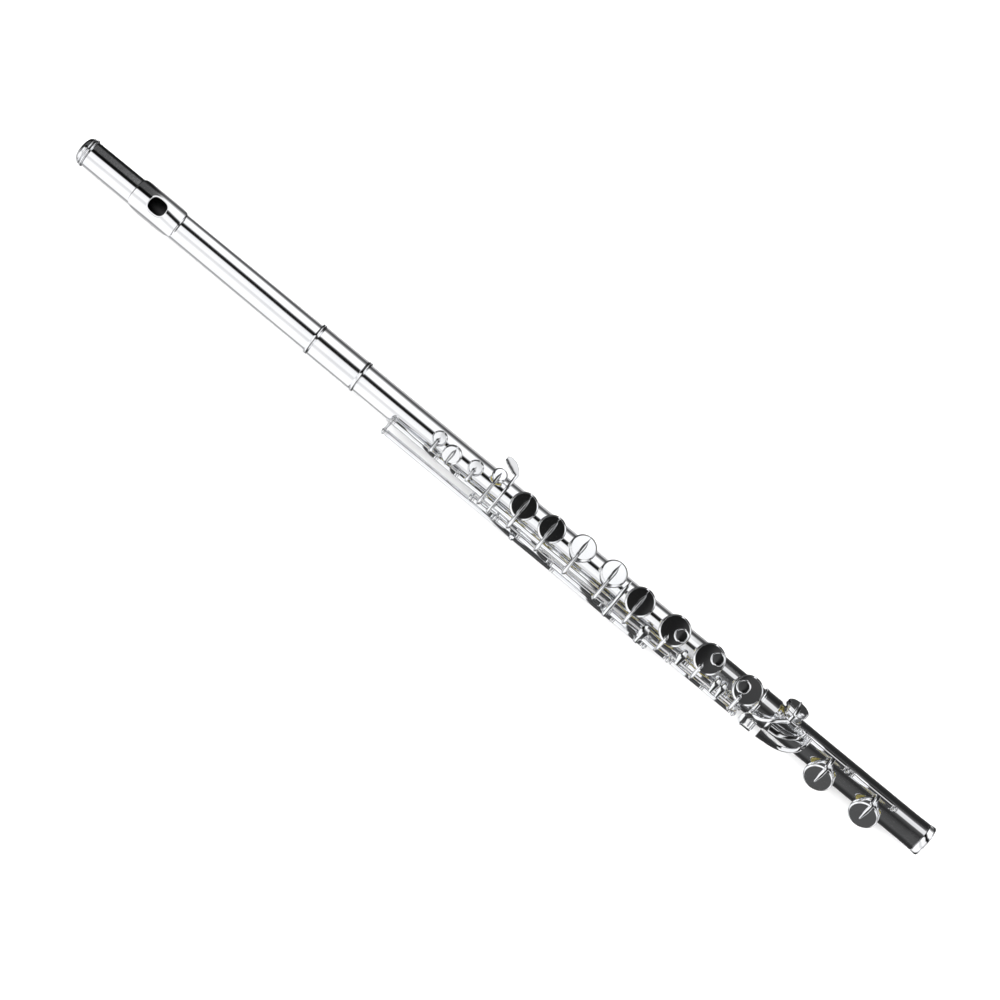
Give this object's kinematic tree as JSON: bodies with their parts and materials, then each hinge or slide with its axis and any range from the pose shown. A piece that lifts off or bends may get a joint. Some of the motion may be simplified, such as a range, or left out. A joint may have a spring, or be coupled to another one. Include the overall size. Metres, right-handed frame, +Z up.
{
  "type": "concert flute",
  "caption": "Concert flute with a closed-hole key system, offset G and a C foot: a tube in three joints with a lip plate, hinged key cups, trill keys, levers and rods.",
  "frame": {"origin": "centre of the outline, on the surface the flute lies on", "axes": "+X along the tube from the crown to the foot's end, +Z up through the main row of keys, +Y away from the key rods"},
  "size_m": [0.67, 0.0394, 0.0386],
  "materials": {
    "silver": "polished silver plate",
    "steel": "satin steel rod",
    "pad_skin": "felt under yellow skin, matt",
    "cork": "natural cork, matt"
  },
  "bodies": {
    "body": {"body_tube": "silver", "barrel": "silver", "main_rib": "silver", "thumb_rib": "silver", "main_rod_upper": "steel", "main_rod_lower": "steel", "thumb_rod": "steel"},
    "head": {"head_tube": "silver", "lip_plate": "silver", "embouchure_riser": "silver"},
    "crown": {"crown": "silver"},
    "stopper": {"stopper_cork": "cork", "stopper_screw": "steel", "stopper_nut": "steel"},
    "foot": {"foot_tube": "silver", "foot_rib": "silver", "e_flat_rod": "steel"},
    "d_sharp_trill_key": {"d_sharp_trill_key": "silver", "d_sharp_trill_pad": "pad_skin"},
    "c_sharp_trill_key": {"c_sharp_trill_key": "silver", "c_sharp_trill_pad": "pad_skin"},
    "d_trill_key": {"d_trill_key": "silver", "d_trill_pad": "pad_skin"},
    "c_key": {"c_key": "silver", "c_pad": "pad_skin"},
    "a_sharp_key": {"a_sharp_key": "silver", "a_sharp_pad": "pad_skin"},
    "a_key": {"a_key": "silver", "a_pad": "pad_skin"},
    "g_key": {"g_key": "silver", "g_pad_1": "pad_skin", "g_pad_2": "pad_skin"},
    "f_sharp_key": {"f_sharp_key": "silver", "f_sharp_pad": "pad_skin"},
    "f_key": {"f_key": "silver", "f_pad": "pad_skin"},
    "e_key": {"e_key": "silver", "e_pad": "pad_skin"},
    "d_key": {"d_key": "silver", "d_pad": "pad_skin"},
    "side_b_flat_lever": {"side_b_flat_lever": "silver"},
    "g_sharp_key": {"g_sharp_key": "silver", "g_sharp_pad": "pad_skin"},
    "thumb_b_key": {"thumb_b_key": "silver", "thumb_b_pad": "pad_skin"},
    "thumb_b_flat_lever": {"thumb_b_flat_lever": "silver"},
    "e_flat_key": {"e_flat_key": "silver", "e_flat_pad": "pad_skin"},
    "low_c_sharp_key": {"low_c_sharp_key": "silver", "low_c_sharp_pad": "pad_skin"},
    "low_c_key": {"low_c_key": "silver", "low_c_pad": "pad_skin"},
    "e_flat_roller": {"e_flat_roller": "silver"}
  },
  "joints": [
    {"name": "head_slide", "type": "slide", "parent": "body", "child": "head", "axis": [-1, 0, 0], "range_m": [0, 0.012]},
    {"name": "crown_turn", "type": "hinge", "parent": "head", "child": "crown", "pos_m": [-0.3315, 0.00014, 0.01852], "axis": [1, 0, 0], "range_deg": [0, 360]},
    {"name": "stopper_slide", "type": "slide", "parent": "head", "child": "stopper", "axis": [-1, 0, 0], "range_m": [0, 0.0008]},
    {"name": "foot_swivel", "type": "hinge", "parent": "body", "child": "foot", "pos_m": [0.2065, 0.00014, 0.01852], "axis": [1, 0, 0], "range_deg": [-8, 8]},
    {"name": "d_sharp_trill_key", "type": "hinge", "parent": "body", "child": "d_sharp_trill_key", "pos_m": [-0.0517, -0.00926, 0.02652], "axis": [1, 0, 0], "range_deg": [0, 10], "stiffness_Nm_per_rad": 0.02, "springref_deg": -17.19},
    {"name": "c_sharp_trill_key", "type": "hinge", "parent": "body", "child": "c_sharp_trill_key", "pos_m": [-0.0397, -0.00926, 0.02652], "axis": [1, 0, 0], "range_deg": [0, 10], "stiffness_Nm_per_rad": 0.02, "springref_deg": -17.19},
    {"name": "d_trill_key", "type": "hinge", "parent": "body", "child": "d_trill_key", "pos_m": [-0.0234, -0.00926, 0.02652], "axis": [1, 0, 0], "range_deg": [0, 10], "stiffness_Nm_per_rad": 0.02, "springref_deg": -17.19},
    {"name": "c_key", "type": "hinge", "parent": "body", "child": "c_key", "pos_m": [-0.0091, -0.01426, 0.02402], "axis": [1, 0, 0], "range_deg": [-8, 0], "stiffness_Nm_per_rad": 0.02, "springref_deg": 17.19},
    {"name": "a_sharp_key", "type": "hinge", "parent": "body", "child": "a_sharp_key", "pos_m": [0.0141, -0.01426, 0.02402], "axis": [1, 0, 0], "range_deg": [-8, 0], "stiffness_Nm_per_rad": 0.02, "springref_deg": 17.19},
    {"name": "a_key", "type": "hinge", "parent": "body", "child": "a_key", "pos_m": [0.036, -0.01426, 0.02402], "axis": [1, 0, 0], "range_deg": [-8, 0], "stiffness_Nm_per_rad": 0.02, "springref_deg": 17.19},
    {"name": "g_key", "type": "hinge", "parent": "body", "child": "g_key", "pos_m": [0.0702, -0.01426, 0.02402], "axis": [1, 0, 0], "range_deg": [-8, 0], "stiffness_Nm_per_rad": 0.02, "springref_deg": 17.19},
    {"name": "f_sharp_key", "type": "hinge", "parent": "body", "child": "f_sharp_key", "pos_m": [0.1057, -0.01426, 0.02402], "axis": [1, 0, 0], "range_deg": [-8, 0], "stiffness_Nm_per_rad": 0.02, "springref_deg": 17.19},
    {"name": "f_key", "type": "hinge", "parent": "body", "child": "f_key", "pos_m": [0.1331, -0.01426, 0.02402], "axis": [1, 0, 0], "range_deg": [-8, 0], "stiffness_Nm_per_rad": 0.02, "springref_deg": 17.19},
    {"name": "e_key", "type": "hinge", "parent": "body", "child": "e_key", "pos_m": [0.1603, -0.01426, 0.02402], "axis": [1, 0, 0], "range_deg": [-8, 0], "stiffness_Nm_per_rad": 0.02, "springref_deg": 17.19},
    {"name": "d_key", "type": "hinge", "parent": "body", "child": "d_key", "pos_m": [0.1903, -0.01426, 0.02402], "axis": [1, 0, 0], "range_deg": [-8, 0], "stiffness_Nm_per_rad": 0.02, "springref_deg": 17.19},
    {"name": "side_b_flat_lever", "type": "hinge", "parent": "body", "child": "side_b_flat_lever", "pos_m": [0.112, -0.01646, 0.01852], "axis": [1, 0, 0], "range_deg": [-4, 0], "stiffness_Nm_per_rad": 0.02, "springref_deg": 17.19},
    {"name": "g_sharp_key", "type": "hinge", "parent": "body", "child": "g_sharp_key", "pos_m": [0.0761, -0.01646, 0.01852], "axis": [1, 0, 0], "range_deg": [-10, 0], "stiffness_Nm_per_rad": 0.02, "springref_deg": 17.19},
    {"name": "thumb_b_key", "type": "hinge", "parent": "body", "child": "thumb_b_key", "pos_m": [0.0035, -0.00926, 0.00952], "axis": [1, 0, 0], "range_deg": [0, 8], "stiffness_Nm_per_rad": 0.02, "springref_deg": -17.19},
    {"name": "thumb_b_flat_lever", "type": "hinge", "parent": "body", "child": "thumb_b_flat_lever", "pos_m": [0.029, -0.00926, 0.00952], "axis": [1, 0, 0], "range_deg": [0, 6], "stiffness_Nm_per_rad": 0.02, "springref_deg": -17.19},
    {"name": "e_flat_key", "type": "hinge", "parent": "foot", "child": "e_flat_key", "pos_m": [0.2234, 0.00239, 0.03137], "axis": [1, 0, 0], "range_deg": [0, 10], "stiffness_Nm_per_rad": 0.02, "springref_deg": -17.19},
    {"name": "low_c_sharp_key", "type": "hinge", "parent": "foot", "child": "low_c_sharp_key", "pos_m": [0.252, 0.00239, 0.03137], "axis": [1, 0, 0], "range_deg": [0, 10], "stiffness_Nm_per_rad": 0.02, "springref_deg": -17.19},
    {"name": "low_c_key", "type": "hinge", "parent": "foot", "child": "low_c_key", "pos_m": [0.2884, 0.00239, 0.03137], "axis": [1, 0, 0], "range_deg": [0, 10], "stiffness_Nm_per_rad": 0.02, "springref_deg": -17.19},
    {"name": "e_flat_roller", "type": "hinge", "parent": "e_flat_key", "child": "e_flat_roller", "pos_m": [0.2059, -0.01346, 0.02892], "axis": [0, -0.9754, -0.2203], "continuous": true}
  ],
  "couplings": [
    {"joint": "stopper_slide", "follows": "crown_turn", "m_per_rad": 0.0001273},
    {"joint": "a_sharp_key", "follows": "a_key", "ratio": 1},
    {"joint": "f_sharp_key", "follows": "f_key", "ratio": 1}
  ]
}
